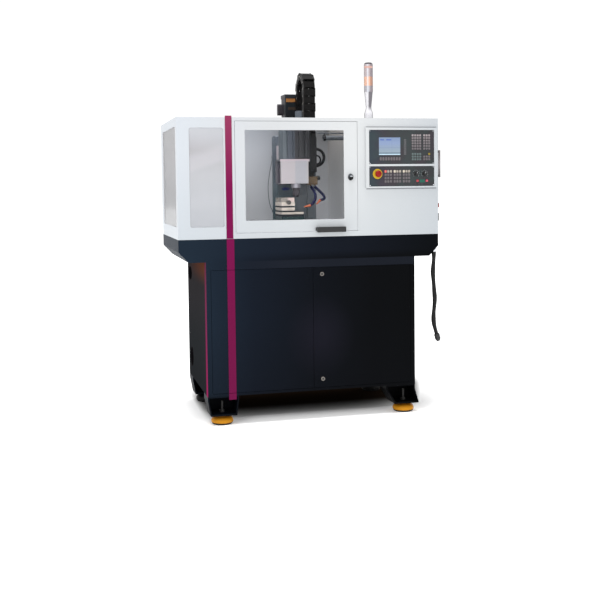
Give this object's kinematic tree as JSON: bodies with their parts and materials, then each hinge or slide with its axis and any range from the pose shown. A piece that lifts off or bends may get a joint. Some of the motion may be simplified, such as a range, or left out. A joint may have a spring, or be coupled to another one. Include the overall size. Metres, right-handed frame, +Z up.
{
  "type": "cnc milling machine",
  "caption": "Compact vertical milling machine in an open-topped white housing with a hinged window door, control panel and signal tower, on a dark tray and two-door cabinet.",
  "frame": {"origin": "floor level, under the middle of the machine's bounding box without the cord", "axes": "+X to the machine's right as its user faces it, +Y to the back, +Z up"},
  "size_m": [1.6295, 0.842, 2.135],
  "materials": {
    "navy_paint": "fine textured powder coat",
    "white_paint": "satin powder coat",
    "stripe_paint": "satin film",
    "window_sheet": "clear polycarbonate, lightly grey",
    "yellow_paint": "satin",
    "black_rubber": "matt",
    "bolt_steel": "zinc plated",
    "bright_chrome": "polished",
    "black_plastic": "fine grain",
    "panel_grey": "satin membrane",
    "screen_glass": "lit screen",
    "key_grey": "satin",
    "key_red": "lit",
    "signal_yellow": "satin",
    "signal_red": "gloss",
    "socket_red": "satin",
    "tower_white": "gloss",
    "lens_clear": "clear",
    "lens_amber": "clear",
    "lamp_grey": "satin",
    "cast_grey": "machine enamel",
    "guard_white": "satin",
    "shroud_dark": "dark coating",
    "table_steel": "ground",
    "vice_steel": "ground",
    "screw_steel": "oiled",
    "cutter_steel": "ground",
    "brass_block": "plain",
    "hose_blue": "satin",
    "nozzle_orange": "satin",
    "tank_grey": "satin",
    "gland_metal": "nickel plated"
  },
  "bodies": {
    "frame": {"cabinet": "navy_paint", "foot_brackets": "navy_paint", "levelling_bolts": "bolt_steel", "mount_caps": "yellow_paint", "mount_pads": "black_rubber", "chip_tray": "navy_paint", "enclosure": "white_paint", "control_housing": "white_paint", "fixed_windows": "window_sheet", "accent_strips": "stripe_paint", "control_bezel": "white_paint", "operator_panel": "panel_grey", "machine_panel": "panel_grey", "screen": "screen_glass", "panel_keys": "key_grey", "machine_keys": "key_grey", "lamp_keys": "key_red", "estop_collar": "signal_yellow", "side_handle": "bright_chrome", "side_sockets": "socket_red", "tower_stem": "tower_white", "tower_clear_lenses": "lens_clear", "tower_amber_lens": "lens_amber", "tower_cap": "black_plastic", "work_lamp": "lamp_grey", "machine_bed": "cast_grey", "column": "cast_grey", "z_motor": "shroud_dark", "coolant_tank": "tank_grey", "cord_gland": "gland_metal", "cord": "black_rubber", "cord_plug": "black_rubber"},
    "left_leaf": {"stand_door_left": "navy_paint", "door_strip": "stripe_paint"},
    "right_leaf": {"stand_door_right": "navy_paint"},
    "upper_lock": {"upper_lock": "bright_chrome"},
    "lower_lock": {"lower_lock": "bright_chrome"},
    "work_door": {"door_frame": "white_paint", "door_window": "window_sheet", "door_handle": "black_plastic"},
    "latch": {"latch_knob": "black_plastic"},
    "stop_button": {"estop_button": "signal_red"},
    "feed_dial": {"feed_knob": "black_plastic"},
    "speed_dial": {"spindle_knob": "black_plastic"},
    "power_switch": {"main_switch": "black_plastic"},
    "saddle": {"saddle": "cast_grey"},
    "table": {"table": "table_steel", "vice_base": "vice_steel"},
    "jaw": {"vice_jaw": "vice_steel"},
    "jaw_screw": {"vice_screw": "screw_steel"},
    "head": {"head": "cast_grey", "head_guard": "guard_white", "motor_shroud": "shroud_dark", "conduit_loop": "black_rubber", "coolant_block": "brass_block", "coolant_hoses": "hose_blue", "nozzles": "nozzle_orange"},
    "spindle": {"spindle": "cutter_steel"},
    "chain": {"energy_chain": "black_plastic"},
    "valve": {"valve_knob": "black_plastic"}
  },
  "joints": [
    {"name": "work_door_hinge", "type": "hinge", "parent": "frame", "child": "work_door", "pos_m": [-0.474, -0.378, 1.45], "axis": [0, 0, -1], "range_deg": [0, 110]},
    {"name": "latch_turn", "type": "hinge", "parent": "work_door", "child": "latch", "pos_m": [0.217, -0.382, 1.445], "axis": [0, 1, 0], "range_deg": [0, 90]},
    {"name": "left_leaf_hinge", "type": "hinge", "parent": "frame", "child": "left_leaf", "pos_m": [-0.626, -0.378, 0.552], "axis": [0, 0, -1], "range_deg": [0, 110]},
    {"name": "right_leaf_hinge", "type": "hinge", "parent": "frame", "child": "right_leaf", "pos_m": [0.586, -0.378, 0.552], "axis": [0, 0, 1], "range_deg": [0, 110]},
    {"name": "upper_lock_turn", "type": "hinge", "parent": "right_leaf", "child": "upper_lock", "pos_m": [0.035, -0.382, 0.872], "axis": [0, 1, 0], "range_deg": [0, 90]},
    {"name": "lower_lock_turn", "type": "hinge", "parent": "right_leaf", "child": "lower_lock", "pos_m": [0.035, -0.382, 0.243], "axis": [0, 1, 0], "range_deg": [0, 90]},
    {"name": "stop_press", "type": "slide", "parent": "frame", "child": "stop_button", "axis": [0, 1, 0], "range_m": [0, 0.005]},
    {"name": "feed_turn", "type": "hinge", "parent": "frame", "child": "feed_dial", "pos_m": [0.63, -0.382, 1.462], "axis": [0, 1, 0], "range_deg": [-135, 135]},
    {"name": "speed_turn", "type": "hinge", "parent": "frame", "child": "speed_dial", "pos_m": [0.684, -0.382, 1.462], "axis": [0, 1, 0], "range_deg": [-135, 135]},
    {"name": "power_turn", "type": "hinge", "parent": "frame", "child": "power_switch", "pos_m": [0.775, -0.316, 1.195], "axis": [1, 0, 0], "range_deg": [0, 90]},
    {"name": "saddle_slide", "type": "slide", "parent": "frame", "child": "saddle", "axis": [0, 1, 0], "range_m": [-0.095, 0.095]},
    {"name": "table_slide", "type": "slide", "parent": "saddle", "child": "table", "axis": [1, 0, 0], "range_m": [-0.1, 0.19]},
    {"name": "jaw_slide", "type": "slide", "parent": "table", "child": "jaw", "axis": [0, 1, 0], "range_m": [-0.01, 0.06]},
    {"name": "jaw_screw_turn", "type": "hinge", "parent": "table", "child": "jaw_screw", "pos_m": [-0.127, -0.222, 1.297], "axis": [0, 1, 0], "range_deg": [-900, 5400]},
    {"name": "head_slide", "type": "slide", "parent": "frame", "child": "head", "axis": [0, 0, 1], "range_m": [-0.065, 0.18]},
    {"name": "spindle_turn", "type": "hinge", "parent": "head", "child": "spindle", "pos_m": [-0.058, -0.137, 1.4], "axis": [0, 0, 1], "continuous": true},
    {"name": "chain_slide", "type": "slide", "parent": "frame", "child": "chain", "axis": [0, 0, 1], "range_m": [-0.0325, 0.09]},
    {"name": "valve_turn", "type": "hinge", "parent": "head", "child": "valve", "pos_m": [0.075, -0.145, 1.444], "axis": [1, 0, 0], "range_deg": [0, 90]}
  ],
  "couplings": [
    {"joint": "jaw_screw_turn", "follows": "jaw_slide", "rad_per_m": 1570.8},
    {"joint": "chain_slide", "follows": "head_slide", "ratio": 0.5}
  ]
}
